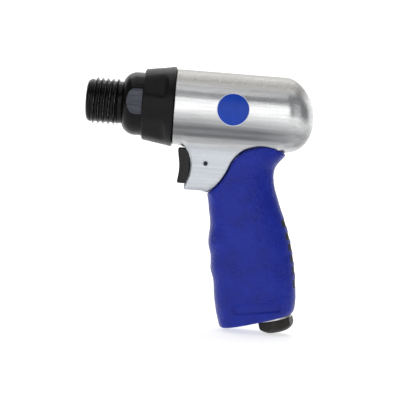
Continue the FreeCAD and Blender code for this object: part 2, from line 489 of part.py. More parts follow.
AT_THROTTLE = FreeCAD.Placement(V(0, 0, NUM["throttle_z"]), FreeCAD.Rotation())
bushing_sleeve = new_body("throttle_bushing", AT_THROTTLE)
turn(bushing_sleeve, "throttle_bushing_turned", [
    (D("bushing_front"), D("bushing_in_r")), (D("bushing_front"), D("throttle_bore_r") - 0.02), (D("bushing_rear"), D("throttle_bore_r") - 0.02), (D("bushing_rear"), D("bushing_in_r") + 0.6),
    (D("bushing_rear") - 6.0, D("bushing_in_r") + 0.6), (D("bushing_rear") - 7.0, D("bushing_in_r"))])
sk = new_sketch(bushing_sleeve, "bushing_port", "XY_Plane")
ring(sk, 96.6, 0.0, 1.8, "port")
extrude(bushing_sleeve, "bushing_port_cut", sk, 14.0, cut=True)
nodes["throttle_bushing"] = bushing_sleeve
valve = new_body("throttle_valve", AT_THROTTLE)
h0 = D("valve_head_x")
turn(valve, "throttle_valve_turned", [
    (D("valve_stem_front"), 0.0), (D("valve_stem_front"), D("valve_stem_r") - 0.3), (D("valve_stem_front") + 0.4, D("valve_stem_r")), (93.4, D("valve_stem_r")), (94.0, 1.7), (99.8, 1.7), (100.3, 2.0),
    (h0, 2.0), (h0, D("valve_head_r")), (h0 + 2.0, D("valve_head_r")), (h0 + 2.0, 2.6), (h0 + D("valve_head_t") + 0.9, 2.6), (h0 + D("valve_head_t") + 0.9, 0.0)])
nodes["throttle_valve"] = valve
nodes["throttle_seal"] = ring_x("throttle_seal", h0 - D("seal_t"), D("seal_t"), 2.0, D("seal_r"), AT_THROTTLE)

coil = placed("Part::Helix", "spring_path", FreeCAD.Placement(), Pitch=D("spring_pitch"), Height=D("spring_len"), Radius=D("spring_r"))
wire = placed("Part::Circle", "spring_section", FreeCAD.Placement(V(NUM["spring_r"], 0, 0), FreeCAD.Rotation(V(1, 0, 0), 90)), Radius=D("spring_wire"))
doc.recompute()
spring = doc.addObject("Part::Sweep", "throttle_spring")
spring.Sections = [wire]
spring.Spine = (coil, ["Edge1"])
spring.Solid = True
spring.Frenet = True
spring.Placement = FreeCAD.Placement(V(104.6, 0, NUM["throttle_z"]), ALONG_X)
doc.recompute()
nodes["throttle_spring"] = spring

# ---------------------------------------------------------------- round badge on the left side
plate = placed("Part::Cylinder", "badge_round", FreeCAD.Placement(V(NUM["badge_x"], -20, NUM["badge_z"]), FreeCAD.Rotation(V(1, 0, 0), 90)), Radius=D("badge_r"), Height=8.0)
skin = new_body("badge_skin")
turn(skin, "badge_skin_turned", [(80.0, D("body_r")), (80.0, D("body_r") + D("badge_t")), (110.0, D("body_r") + D("badge_t")), (110.0, D("body_r"))])
badge = join("side_badge", "Part::Common", skin, plate)
nodes["side_badge"] = badge

doc.recompute()
for o in doc.Objects:
    if "Invalid" in o.State or "Error" in o.State:
        raise RuntimeError("%s failed: %s" % (o.Name, o.State))
os.makedirs("parts", exist_ok=True)
for old in os.listdir("parts"):
    if old.endswith(".step"):
        os.remove(os.path.join("parts", old))
for name, o in nodes.items():
    o.Label = name
    shape = o.Shape
    if shape.isNull() or not shape.isValid() or shape.Volume <= 0 or not shape.Solids:
        raise RuntimeError("%s is not a valid solid" % name)
    b = shape.BoundBox
    print("%-22s solids %d volume %9.1f  X %7.2f %7.2f  Y %6.2f %6.2f  Z %7.2f %7.2f" % (name, len(shape.Solids), shape.Volume, b.XMin, b.XMax, b.YMin, b.YMax, b.ZMin, b.ZMax))
    shape.exportStep("parts/%s.step" % name)
print("nodes", len(nodes))
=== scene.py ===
import bpy, math
import numpy as np
from mathutils import Matrix, Vector


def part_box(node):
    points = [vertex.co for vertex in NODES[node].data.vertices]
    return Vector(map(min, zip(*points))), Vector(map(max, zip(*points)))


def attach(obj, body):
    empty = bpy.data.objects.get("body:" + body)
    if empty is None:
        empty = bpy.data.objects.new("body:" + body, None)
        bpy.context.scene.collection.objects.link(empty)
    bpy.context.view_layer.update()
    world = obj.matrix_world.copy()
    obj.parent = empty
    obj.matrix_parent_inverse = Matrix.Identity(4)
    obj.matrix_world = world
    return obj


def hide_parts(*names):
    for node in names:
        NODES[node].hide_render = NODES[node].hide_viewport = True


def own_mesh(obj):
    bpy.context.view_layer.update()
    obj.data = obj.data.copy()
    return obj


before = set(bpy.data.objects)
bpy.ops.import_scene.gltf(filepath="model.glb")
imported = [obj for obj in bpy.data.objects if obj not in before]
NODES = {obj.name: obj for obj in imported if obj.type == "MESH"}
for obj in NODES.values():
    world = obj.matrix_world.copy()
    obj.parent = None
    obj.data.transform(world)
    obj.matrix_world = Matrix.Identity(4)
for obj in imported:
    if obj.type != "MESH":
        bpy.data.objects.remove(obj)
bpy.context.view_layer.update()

S = 0.001


# ------------------------------------------------------------------ signed distance tools (millimetres)
def smin(a, b, k):
    h = np.clip(0.5 + 0.5 * (b - a) / k, 0, 1)
    return b * (1 - h) + a * h - k * h * (1 - h)


def smax(a, b, k):
    return -smin(-a, -b, k)


def rounded(*ds, r=0.5):
    """Intersection of slabs with a rounded edge."""
    out, inner = None, None
    for d in ds:
        w = d + r
        out = np.maximum(w, 0) ** 2 if out is None else out + np.maximum(w, 0) ** 2
        inner = w if inner is None else np.maximum(inner, w)
    return np.sqrt(out) + np.minimum(inner, 0) - r


def poly2(px, py, pts):
    pts = np.asarray(pts, float)
    best = np.full(px.shape, 1e9)
    inside = np.zeros(px.shape, bool)
    n = len(pts)
    for i in range(n):
        ax, ay = pts[i - 1]
        bx, by = pts[i]
        ex, ey = bx - ax, by - ay
        wx, wy = px - ax, py - ay
        t = np.clip((wx * ex + wy * ey) / (ex * ex + ey * ey), 0, 1)
        best = np.minimum(best, (wx - t * ex) ** 2 + (wy - t * ey) ** 2)
        if ay != by:
            cross = ((ay > py) != (by > py)) & (px < (bx - ax) * (py - ay) / (by - ay) + ax)
            inside ^= cross
    d = np.sqrt(best)
    return np.where(inside, -d, d)


def mesh_from(name, f, lo, hi, h, steps=3):
    """Dual surface of f = 0, its points then moved onto the true surface."""
    lo, hi = np.array(lo, float), np.array(hi, float)
    B = 8
    nb = np.ceil((hi - lo) / (h * B)).astype(int)
    n = nb * B + 1
    D = np.empty(n, np.float32)
    ax = [lo[i] + h * np.arange(n[i]) for i in range(3)]
    cc = [lo[i] + h * B * (np.arange(nb[i]) + 0.5) for i in range(3)]
    C = np.stack(np.meshgrid(*cc, indexing="ij"), -1).reshape(-1, 3)
    fc = f(C)
    near = np.abs(fc) < h * B * 0.5 * 1.7321 * 1.45 + h
    D[:] = 1.0
    idx = np.stack(np.unravel_index(np.arange(len(C)), tuple(nb)), -1)
    for (i, j, k), v in zip(idx[~near], fc[~near]):
        if v < 0:
            D[i * B:i * B + B + 1, j * B:j * B + B + 1, k * B:k * B + B + 1] = -1.0
    off = np.stack(np.meshgrid(*[np.arange(B + 1)] * 3, indexing="ij"), -1).reshape(-1, 3)
    sel = idx[near]
    for a in range(0, len(sel), 400):
        part = sel[a:a + 400]
        g = (part[:, None, :] * B + off[None]).reshape(-1, 3)
        v = f(lo + h * g)
        D[g[:, 0], g[:, 1], g[:, 2]] = v
    inside = D < 0
    m = np.array(D.shape) - 1
    acc = np.zeros(tuple(m) + (3,), np.float32)
    cnt = np.zeros(tuple(m), np.uint8)
    for axis in range(3):
        for o1 in (0, 1):
            for o2 in (0, 1):
                o = [0, 0, 0]
                rest = [i for i in range(3) if i != axis]
                o[rest[0]], o[rest[1]] = o1, o2
                e = list(o)
                e[axis] = 1
                s0 = tuple(slice(o[i], o[i] + m[i]) for i in range(3))
                s1 = tuple(slice(e[i], e[i] + m[i]) for i in range(3))
                hit = inside[s0] != inside[s1]
                w = np.nonzero(hit)
                d0, d1 = D[s0][w], D[s1][w]
                t = d0 / (d0 - d1)
                p = np.tile(np.array(o, np.float32), (len(t), 1))
                p[:, axis] = t
                acc[w] += p
                cnt[w] += 1
    cells = np.nonzero(cnt)
    num = -np.ones(tuple(m), np.int64)
    num[cells] = np.arange(len(cells[0]))
    verts = lo + h * (np.stack(cells, -1) + acc[cells] / cnt[cells][:, None])
    faces = []
    for axis in range(3):
        r1, r2 = [(1, 2), (2, 0), (0, 1)][axis]
        s0 = [slice(None)] * 3
        s1 = [slice(None)] * 3
        s0[axis], s1[axis] = slice(0, m[axis]), slice(1, m[axis] + 1)
        a, b = inside[tuple(s0)], inside[tuple(s1)]
        w = np.stack(np.nonzero(a != b), -1)
        ok = (w[:, r1] > 0) & (w[:, r1] < m[r1]) & (w[:, r2] > 0) & (w[:, r2] < m[r2])
        w = w[ok]
        quad = []
        for q1, q2 in ((1, 1), (0, 1), (0, 0), (1, 0)):
            c = w.copy()
            c[:, r1] -= q1
            c[:, r2] -= q2
            quad.append(num[c[:, 0], c[:, 1], c[:, 2]])
        q = np.stack(quad, -1)
        flip = ~a[w[:, 0], w[:, 1], w[:, 2]]
        q[flip] = q[flip][:, ::-1]
        faces.append(q)
    faces = np.concatenate(faces)
    e = 0.04
    for _ in range(steps):
        d = f(verts)
        g = np.stack([f(verts + e * np.eye(3)[i]) - f(verts - e * np.eye(3)[i]) for i in range(3)], -1) / (2 * e)
        g2 = np.maximum((g ** 2).sum(-1), 0.25)
        verts = verts - np.clip(d, -0.5 * h, 0.5 * h)[:, None] * g / g2[:, None]
    me = bpy.data.meshes.new(name)
    me.from_pydata((verts * S).tolist(), [], faces.tolist())
    me.polygons.foreach_set("use_smooth", [True] * len(me.polygons))
    me.update()
    ob = bpy.data.objects.new(name, me)
    bpy.context.scene.collection.objects.link(ob)
    return ob


# ------------------------------------------------------------------ handle frame: s up the handle, t to the rear
RAKE = math.radians(16.2)
CR, SR = math.cos(RAKE), math.sin(RAKE)
HX, HZ = 133.73, -133.08


def handle(P):
    dx, dz = P[:, 0] - HX, P[:, 2] - HZ
    return -dx * SR + dz * CR, dx * CR + dz * SR


FRONT = [(-6, -37.2), (0, -37.2), (3.6, -37.2), (10.7, -37.4), (15.4, -37.1), (20.1, -36.8), (25.3, -36.1), (31.1, -35.0), (34.5, -34.9), (38.0, -35.3), (40.6, -35.3),
         (43.8, -34.4), (49.0, -33.3), (51.7, -33.3), (55.1, -33.5), (59.0, -32.9), (62.8, -31.7), (65.9, -30.4), (69.7, -29.4), (73.7, -28.8), (77.7, -28.6),
         (82.2, -27.9), (86.2, -27.6), (92.0, -27.4), (100.0, -27.0), (118.0, -26.0)]
BACK = [(-6, 11.0), (0, 12.2), (1.3, 12.6), (3.0, 13.5), (4.8, 14.3), (9.9, 15.9), (17.6, 17.4), (24.1, 18.6), (30.7, 19.3), (38.7, 19.9), (46.1, 20.1), (52.9, 19.8),
        (60.4, 19.3), (68.0, 18.2), (74.9, 17.6), (81.7, 17.0), (87.1, 17.1), (91.7, 17.8), (96.1, 19.6), (98.3, 21.7), (101.4, 26.2), (103.5, 29.2), (107.0, 30.6), (118.0, 31.0)]
HALF = [(-6, 16.2), (0, 16.6), (8, 17.2), (26, 17.6), (42, 18.0), (56, 17.9), (70, 17.1), (84, 16.1), (96, 15.6), (118, 15.6)]


def table(points, blur):
    grid = np.arange(-6, 118.01, 0.25)
    v = np.interp(grid, *zip(*points))
    k = np.exp(-0.5 * (np.arange(-24, 25) * 0.25 / blur) ** 2)
    pad = np.pad(v, 24, mode="edge")
    return grid, np.convolve(pad, k / k.sum(), mode="valid")


TF, TB, TH = table(FRONT, 1.0), table(BACK, 0.9), table(HALF, 4.0)
EXP = 2.5


def grip_raw(P, waves=True):
    s, t = handle(P)
    a0, b0, hw = np.interp(s, *TF), np.interp(s, *TB), np.interp(s, *TH)
    tc, a = (a0 + b0) / 2, (b0 - a0) / 2
    q = (np.abs(t - tc) / a) ** EXP + (np.abs(P[:, 1]) / hw) ** EXP
    return (np.maximum(q, 1e-6) ** (1 / EXP) - 1) * hw * 1.05, s, t, b0


S_CURVE = [(60.0, -54.9), (82.0, -54.9), (85.1, -52.8), (88.2, -50.2), (91.2, -46.7), (94.2, -41.8), (95.9, -38.0), (97.5, -34.2), (99.9, -30.7),
           (103.0, -27.8), (106.1, -25.9), (109.4, -24.7), (113.9, -23.3), (119.1, -22.6), (123.8, -22.9), (127.8, -23.9), (131.4, -25.3), (134.0, -26.8), (150.0, -28.0), (150.0, 10.0), (60.0, 10.0)]


def dense(points, closed_from=1, closed_to=18):
    """A smooth curve through the listed points between two indices, straight elsewhere."""
    pts = [np.array(p) for p in points]
    out = []
    for i, p in enumerate(pts):
        if closed_from < i <= closed_to:
            p0, p1, p2, p3 = pts[i - 2], pts[i - 1], pts[i], pts[(i + 1) % len(pts)]
            if i - 1 == closed_from:
                p0 = 2 * p1 - p2
            if i == closed_to:
                p3 = 2 * p2 - p1
            for u in (0.25, 0.5, 0.75):
                out.append(0.5 * (2 * p1 + (p2 - p0) * u + (2 * p0 - 5 * p1 + 4 * p2 - p3) * u * u + (3 * p1 - p0 - 3 * p2 + p3) * u ** 3))
        out.append(p)
    return [tuple(p) for p in out]


OVER = dense(S_CURVE, 1, 17)
BLOCK = [(66.6, -12.0), (66.5, -22.0), (66.4, -27.0), (68.3, -30.1), (69.7, -33.9), (70.2, -37.1), (70.2, -41.0), (69.6, -44.9), (67.9, -49.6),
         (67.0, -50.8), (67.2, -54.0), (78.5, -53.8)] + [p for p in OVER if 82.0 <= p[0] <= 126.0 and p[1] > -54.95 and p[1] < -20] + [(126.0, -12.0)]


def housing_solid(P):
    x, y, z = P[:, 0], P[:, 1], P[:, 2]
    xd = np.maximum(x - 128.5, 0)
    t = np.clip(xd / 20.2, 0, 1)
    zc = -2.5 * t * t * (3 - 2 * t)
    rr = np.hypot(y, z - zc)
    barrel = (np.sqrt((xd / 20.2) ** 2 + (rr / 24.8) ** 2) - 1) * 24.8
    barrel = smax(barrel, 56.7 - x, 0.9)
    d2 = poly2(x, z, BLOCK)
    block = rounded(d2, np.abs(y) - 12.5, r=1.9)
    body = smin(barrel, block, 6.5)
    # the cheeks stay clear of the trigger's path at the barrel
    body = smax(body, np.minimum(56.7 - x, 1e3), 0.5)
    spigot = np.maximum(np.hypot(y, z) - 21.5, np.maximum(46.4 - x, x - 62.0))
    g, s, tt, b0 = grip_raw(P)
    core = np.maximum(g + 3.6, np.maximum(3.0 - s, s - 108.0))
    boss = np.maximum(np.hypot(tt, y) - 10.4, np.maximum(-s, s - 14.0))
    rest = np.minimum(np.minimum(spigot, core), boss)
    return np.minimum(body, rest)


def tube_x(x, y, z, x0, x1, r, zc=0.0):
    return np.maximum(np.hypot(y, z - zc) - r, np.maximum(x0 - x, x - x1))


def bores(P):
    x, y, z = P[:, 0], P[:, 1], P[:, 2]
    s, t = handle(P)
    d = tube_x(x, y, z, 44.0, 59.0, 18.1)
    d = np.minimum(d, tube_x(x, y, z, 58.9, 100.0, 20.5))
    d = np.minimum(d, tube_x(x, y, z, 99.9, 124.0, 16.15))
    d = np.minimum(d, tube_x(x, y, z, 123.9, 130.0, 9.0))
    d = np.minimum(d, rounded(np.abs(x - 62.2) - 12.2, np.abs(y) - 7.35, np.abs(z + 38.05) - 12.25, r=0.8))
    d = np.minimum(d, np.maximum(np.maximum(72.0 - x, x - 88.6), np.maximum(np.abs(y) - 4.4, np.abs(z + 36.0) - 4.4)))
    d = np.minimum(d, tube_x(x, y, z, 88.5, 112.0, 6.0, -36.0))
    rh = np.hypot(t, y)
    d = np.minimum(d, np.maximum(rh - 8.55, np.maximum(-2.0 - s, s - 18.3)))
    d = np.minimum(d, np.maximum(rh - 5.0, np.maximum(17.0 - s, s - 101.0)))
    d = np.minimum(d, np.maximum(np.hypot(x - 62.6, y) - 2.0, np.maximum(-30 - z, z + 18.0)))
    d = np.minimum(d, np.maximum(np.hypot(x - 80.0, z + 36.0) - (1.15 + 0.30 * np.clip((np.abs(y) - 11.9) / 0.5, 0, 1)), np.abs(y) - 20.0))
    return d


def housing_sdf(P):
    return np.maximum(housing_solid(P), -bores(P))


def cartouche(P):
    u = (P[:, 0] - 120.6) * math.cos(math.radians(8.3)) + (P[:, 2] + 127.0) * math.sin(math.radians(8.3))
    v = -(P[:, 0] - 120.6) * math.sin(math.radians(8.3)) + (P[:, 2] + 127.0) * math.cos(math.radians(8.3))
    return rounded(np.abs(u) - 15.2, np.abs(v) - 2.9, r=2.0)


SLOT_S = (59.6, 51.0, 43.6, 36.0, 28.6, 19.8)


def grip_sdf(P):
    g, s, t, b0 = grip_raw(P)
    # framed blank panel at the foot of each side: a shallow recess with a soft wall and a fine raised line around it
    c = cartouche(P)
    sides = np.abs(P[:, 1]) > 8
    g = g + np.where(sides, 0.80 * np.clip(0.5 - c / 0.8, 0, 1) - 0.30 * np.exp(-((c - 0.9) / 0.5) ** 2), 0)
    g = smax(g, -poly2(P[:, 0], P[:, 2], OVER), 1.6)
    g = smax(g, -s, 3.2)
    for i, sc in enumerate(SLOT_S):
        wide = 7.2 - 0.25 * i
        slot = rounded(np.abs(s - sc) - 2.5, np.abs(P[:, 1]) - wide, b0 - 0.45 - 0.5 * (P[:, 1] / 9.0) ** 2 - t, r=0.25)
        g = smax(g, -slot, 0.2)
    body = housing_solid(P)
    g = np.maximum(g, -(body - 0.05))
    rh = np.hypot(t, P[:, 1])
    g = np.maximum(g, -np.maximum(rh - 10.5, np.maximum(-3.0 - s, s - 6.0)))
    return g


FACETS = [math.radians(27.5 + 72 * i) for i in range(5)]


def collar_sdf(P):
    x, y, z = P[:, 0], P[:, 1], P[:, 2]
    r = np.hypot(y, z)
    land = r - (23.2 + (25.85 - 23.2) * np.clip((x - 36.4) / 17.2, -0.1, 1.0) + 0.28 * np.clip((x - 53.4) / 0.8, 0, 1))
    flat = np.interp(x, [30, 36.4, 48.6, 50.4, 51.6, 52.6, 53.4], [22.0, 22.55, 23.75, 24.2, 24.9, 26.0, 27.6])
    f = np.full(x.shape, -1e9)
    for a in FACETS:
        f = np.maximum(f, -math.cos(a) * y + math.sin(a) * z - flat)
    d = smax(land, f, 0.7)
    d = smax(d, 36.4 - x, 1.2)
    d = smax(d, x - 56.55, 0.9)
    inner = np.where(x < 45.6, 20.9, 21.6)
    return np.maximum(d, inner - r)


TRIG = [(62.3, -26.5), (61.5, -27.2), (61.35, -28.4), (61.75, -31.5), (62.3, -34.5), (62.75, -37.5), (62.9, -40.0), (62.8, -43.0), (62.5, -46.0), (62.1, -48.8), (62.4, -49.8), (63.6, -49.95), (70.0, -49.95), (70.0, -26.5)]


def trigger_sdf(P):
    x, y, z = P[:, 0], P[:, 1], P[:, 2]
    a = rounded(poly2(x, z, TRIG), np.abs(y) - 7.0, r=1.3)
    a = np.minimum(a, rounded(np.abs(x - 68.4) - 1.6, np.abs(y) - 7.0, np.abs(z + 38.2) - 11.7, r=0.4))
    # a stem runs back from the trigger, with a slot through it
    stem = rounded(np.abs(x - 76.0) - 8.0, np.abs(y) - 4.0, np.abs(z + 36.0) - 4.0, r=0.4)
    slot = np.maximum(np.maximum(74.6 - x, x - 81.3), np.abs(z + 36.0) - 1.15)
    return np.maximum(np.minimum(a, stem), -slot)


def bushing_sdf(P):
    s, t = handle(P)
    y = P[:, 1]
    r = np.hypot(t, y)
    h = np.full(s.shape, -1e9)
    for i in range(6):
        a = math.radians(14 + 30 + 60 * i)
        h = np.maximum(h, math.cos(a) * t + math.sin(a) * y - 10.5)
    ball = np.sqrt(r ** 2 + (s - 6.3) ** 2) - 16.9
    h = smax(h, ball, 0.8)
    h = smax(h, s + 0.9, 0.5)
    stem = np.maximum(r - 8.5, np.maximum(s - 18.0, -2.0 - s))
    stem = np.maximum(stem, -np.maximum(7.6 - r, np.abs(s - 15.05) - 0.85))
    d = np.minimum(h, stem)
    d = smax(d, -(r - 4.0), 0.2)
    hole = np.maximum(r - (5.72 + np.clip(-8.5 - s, 0, 1.3)), s - 3.4)
    screen = np.maximum(r - 5.22, s - 4.4)
    return np.maximum(np.maximum(d, -hole), -screen)


def cylinder_mesh():
    """The steel cylinder, turned, with its helical retainer thread and the two spanner flats."""
    prof = [(-1.0, 6.15), (-1.0, 8.0), (-1.0, 10.6)]
    for i in range(0, 9):
        a = math.pi / 2 * i / 8
        prof.append((2.0 - 3.0 * math.cos(a), 11.0 + 3.0 * math.sin(a)))
    x = 2.2
    while x < 19.55:
        prof.append((x, min(15.3, 14.0 + (x - 2.0) * 0.95)))
        x += 0.17
    prof += [(19.6, 15.3), (19.75, 14.0), (20.0, 13.82), (20.6, 13.8), (21.6, 13.8), (22.2, 13.82)]
    for i in range(1, 19):
        a = math.acos(9.3 / 9.5) + (math.pi / 2 - math.acos(9.3 / 9.5)) * i / 18
        prof.append((31.5 - 9.5 * math.cos(a), 11.3 + 9.5 * math.sin(a)))
    prof += [(33.0, 20.8), (35.0, 20.8), (35.9, 20.8), (36.0, 20.8), (36.12, 20.8), (37.0, 20.8), (45.55, 20.8), (45.6, 20.7), (45.6, 18.0), (59.0, 18.0), (59.0, 16.0), (102.9, 16.0), (102.9, 14.6),
             (105.1, 14.6), (105.1, 16.0), (113.0, 16.0), (113.0, 9.5), (33.0, 9.5), (33.0, 5.15), (10.0, 5.15), (0.0, 5.15)]
    N = 192
    verts, faces = [], []
    for j, (px, pr) in enumerate(prof):
        for i in range(N):
            th = 2 * math.pi * i / N
            r = pr
            if 2.0 <= px <= 19.6 and pr > 13.5:
                c = 2.75 + 3.4 * (th / (2 * math.pi))
                kk = round((px - c) / 3.4)
                dx = px - (c + 3.4 * kk)
                fade = min(1.0, max(0.0, (19.9 - px) / 0.9))
                if abs(dx) < 1.5:
                    g = 15.2 - math.sqrt(2.25 - dx * dx)
                    r = min(pr, g * fade + 15.3 * (1 - fade)) if fade < 1 else min(pr, g)
            y, z = -math.cos(th) * r, math.sin(th) * r
            if 21.0 < px < 36.08 and abs(y) > 19.0 and pr > 17:
                y = math.copysign(19.0, y)
            verts.append((px * S, y * S, z * S))
    n = len(prof)
    for j in range(n):
        for i in range(N):
            a0, a1 = j * N + i, j * N + (i + 1) % N
            b0, b1 = ((j + 1) % n) * N + i, ((j + 1) % n) * N + (i + 1) % N
            faces.append((a0, b0, b1, a1))
    me = bpy.data.meshes.new("cylinder_turned")
    me.from_pydata(verts, [], faces)
    me.polygons.foreach_set("use_smooth", [True] * len(me.polygons))
    me.update()
    me.set_sharp_from_angle(angle=math.radians(38))
    ob = bpy.data.objects.new("cylinder_turned", me)
    bpy.context.scene.collection.objects.link(ob)
    return ob


# ------------------------------------------------------------------ materials
class Mat:
    def __init__(self, name):
        self.m = bpy.data.materials.new(name)
        self.m.use_nodes = True
        self.t = self.m.node_tree
        self.b = self.t.nodes["Principled BSDF"]
        tc = self.t.nodes.new("ShaderNodeTexCoord")
        self.co = tc.outputs["Object"]

    def n(self, kind, **kw):
        node = self.t.nodes.new(kind)
        for k, v in kw.items():
            setattr(node, k, v)
        return node

    def link(self, a, b):
        self.t.links.new(a, b)

    def math(self, op, a, b=None, clamp=False):
        n = self.n("ShaderNodeMath", operation=op, use_clamp=clamp)
        for i, v in enumerate((a, b)):
            if v is None:
                continue
            if isinstance(v, (int, float)):
                n.inputs[i].default_value = v
            else:
                self.link(v, n.inputs[i])
        return n.outputs[0]

    def noise(self, scale, stretch=(1, 1, 1), detail=4.0, rough=0.55, shift=(0, 0, 0)):
        mp = self.n("ShaderNodeMapping")
        mp.inputs["Scale"].default_value = stretch
        mp.inputs["Location"].default_value = shift
        self.link(self.co, mp.inputs["Vector"])
        n = self.n("ShaderNodeTexNoise")
        n.inputs["Scale"].default_value = scale
        n.inputs["Detail"].default_value = detail
        n.inputs["Roughness"].default_value = rough
        self.link(mp.outputs[0], n.inputs["Vector"])
        return n.outputs["Fac"]

    def cells(self, scale, feature="F1", stretch=(1, 1, 1)):
        mp = self.n("ShaderNodeMapping")
        mp.inputs["Scale"].default_value = stretch
        self.link(self.co, mp.inputs["Vector"])
        n = self.n("ShaderNodeTexVoronoi", feature=feature)
        n.inputs["Scale"].default_value = scale
        self.link(mp.outputs[0], n.inputs["Vector"])
        return n.outputs["Distance"]

    def ramp(self, fac, stops):
        r = self.n("ShaderNodeValToRGB")
        els = r.color_ramp.elements
        while len(els) < len(stops):
            els.new(0.5)
        for e, (p, c) in zip(els, stops):
            e.position = p
            e.color = (*c, 1) if isinstance(c, tuple) else (c, c, c, 1)
        self.link(fac, r.inputs[0])
        return r.outputs[0]

    def mix(self, fac, a, b):
        n = self.n("ShaderNodeMix", data_type="RGBA")
        self.link(fac, n.inputs[0])
        for v, i in ((a, 6), (b, 7)):
            if isinstance(v, tuple):
                n.inputs[i].default_value = (*v, 1)
            else:
                self.link(v, n.inputs[i])
        return n.outputs[2]

    def rng(self, fac, lo, hi, f0=0.0, f1=1.0):
        n = self.n("ShaderNodeMapRange")
        self.link(fac, n.inputs[0])
        n.inputs[1].default_value, n.inputs[2].default_value = f0, f1
        n.inputs[3].default_value, n.inputs[4].default_value = lo, hi
        return n.outputs[0]

    def xyz(self):
        s = self.n("ShaderNodeSeparateXYZ")
        self.link(self.co, s.inputs[0])
        return s.outputs

    def bump(self, height, strength=0.2, dist=0.0003, normal=None):
        n = self.n("ShaderNodeBump")
        n.inputs["Strength"].default_value = strength
        n.inputs["Distance"].default_value = dist
        self.link(height, n.inputs["Height"])
        if normal is not None:
            self.link(normal, n.inputs["Normal"])
        return n.outputs[0]

    def out(self, color=None, rough=None, metal=None, normal=None, **consts):
        b = self.b
        for key, v in (("Base Color", color), ("Roughness", rough), ("Metallic", metal)):
            if v is None:
                continue
            if isinstance(v, tuple):
                b.inputs[key].default_value = (*v, 1)
            elif isinstance(v, (int, float)):
                b.inputs[key].default_value = v
            else:
                self.link(v, b.inputs[key])
        if normal is not None:
            self.link(normal, b.inputs["Normal"])
        for k, v in consts.items():
            b.inputs[k.replace("_", " ")].default_value = v
        return self.m


def m_aluminium():
    m = Mat("buffed_aluminium")
    streak = m.noise(700, (0.035, 1, 1), 6, 0.62)
    wide = m.noise(150, (0.05, 1, 1), 4, 0.55, (3.1, 0.7, 1.9))
    cloud = m.noise(42, (0.45, 1, 1), 5, 0.6)
    grain = m.noise(1700, (1, 1, 1), 3, 0.6)
    x, y, z = m.xyz()
    # the top of the barrel is darker and beige: partly its real grainy finish, partly painted shade that holds down the
    # bright reflection there
    top = m.rng(z, 0, 1, 0.0095, 0.0165)
    # painted shade: the zone over the trigger block is painted much darker, standing in for the dark reflection band
    # along the lower barrel; it is also a little rougher
    edge = m.math("ADD", z, m.rng(wide, -0.0016, 0.0016, 0.3, 0.7))
    low_shade = m.math("MULTIPLY", m.rng(edge, 1.0, 0.0, -0.0135, -0.0035), m.rng(edge, 0.35, 1.0, -0.0250, -0.0190))
    low_shade = m.math("MULTIPLY", low_shade, m.rng(wide, 0.80, 1.0, 0.35, 0.6))
    low_shade = m.math("MULTIPLY", low_shade, m.rng(x, 1.0, 0.80, 0.112, 0.135))
    # painted reflection tone: the flat side of the trigger block gets a darker, bluer copy of the aluminium colour
    side = m.math("MULTIPLY", m.rng(z, 1.0, 0.0, -0.0265, -0.0235), m.rng(x, 1.0, 0.0, 0.101, 0.106))
    col = m.ramp(cloud, [(0.25, (0.62, 0.62, 0.62)), (0.5, (0.76, 0.762, 0.765)), (0.75, (0.87, 0.875, 0.88))])
    col = m.mix(m.math("MULTIPLY", m.rng(streak, 0.0, 1.0, 0.42, 0.66), 0.42), col, (0.50, 0.495, 0.49))
    col = m.mix(m.math("MULTIPLY", m.rng(wide, 0.0, 1.0, 0.50, 0.72), 0.30), col, (0.90, 0.905, 0.91))
    col = m.mix(m.math("MULTIPLY", top, m.rng(grain, 0.55, 1.0, 0.35, 0.65)), col, (0.275, 0.262, 0.24))
    col = m.mix(m.math("MULTIPLY", low_shade, 0.88), col, (0.055, 0.057, 0.064))
    col = m.mix(m.math("MULTIPLY", side, 0.75), col, (0.44, 0.465, 0.505))
    # painted shade: the lower rear of the block's side, towards the grip, is darkened
    foot_shade = m.math("MULTIPLY", side, m.rng(m.math("ADD", z, m.math("MULTIPLY", x, -0.45)), 1.0, 0.0, -0.1020, -0.0860))
    col = m.mix(m.math("MULTIPLY", foot_shade, m.rng(wide, 0.55, 0.90, 0.4, 0.6)), col, (0.14, 0.14, 0.15))
    rough = m.math("ADD", m.rng(cloud, 0.20, 0.30, 0.3, 0.7), m.math("ADD", m.rng(streak, -0.03, 0.06, 0.35, 0.65), m.math("ADD", m.math("MULTIPLY", top, 0.16), m.math("MULTIPLY", low_shade, 0.08))))
    h = m.math("ADD", m.math("MULTIPLY", streak, 0.8), m.math("MULTIPLY", m.math("MULTIPLY", grain, top), 1.6))
    n1 = m.bump(m.math("ADD", cloud, m.math("MULTIPLY", wide, 0.5)), 0.16, 0.0012)
    return m.out(col, rough, 1.0, m.bump(h, 0.22, 0.00007, n1))


def m_grip():
    m = Mat("blue_rubber")
    pebble = m.noise(1150, (1, 1, 1), 3, 0.6)
    peb2 = m.cells(780)
    patch = m.noise(75, (1, 1, 1), 6, 0.65)
    broad = m.noise(17, (1, 1, 1), 3, 0.5)
    col = m.ramp(patch, [(0.3, (0.0020, 0.0105, 0.215)), (0.5, (0.0030, 0.0150, 0.275)), (0.72, (0.0075, 0.0260, 0.345))])
    col = m.mix(m.rng(broad, 0.0, 0.40, 0.45, 0.75), col, (0.0025, 0.0100, 0.200))
    col = m.mix(m.math("MULTIPLY", m.rng(pebble, 0.0, 1.0, 0.52, 0.70), 0.35), col, (0.015, 0.038, 0.43))
    rough = m.math("ADD", m.rng(patch, 0.26, 0.42, 0.3, 0.7), m.rng(pebble, -0.05, 0.06, 0.3, 0.7))
    h = m.math("ADD", m.math("MULTIPLY", pebble, 0.7), m.math("MULTIPLY", peb2, 0.5))
    dimple = m.noise(330, (1, 1, 1), 3, 0.7, (5.0, 2.0, 7.0))
    return m.out(col, rough, 0.0, m.bump(h, 0.45, 0.00026, m.bump(dimple, 0.60, 0.0010, m.bump(patch, 0.55, 0.0018))), Specular_IOR_Level=0.26)


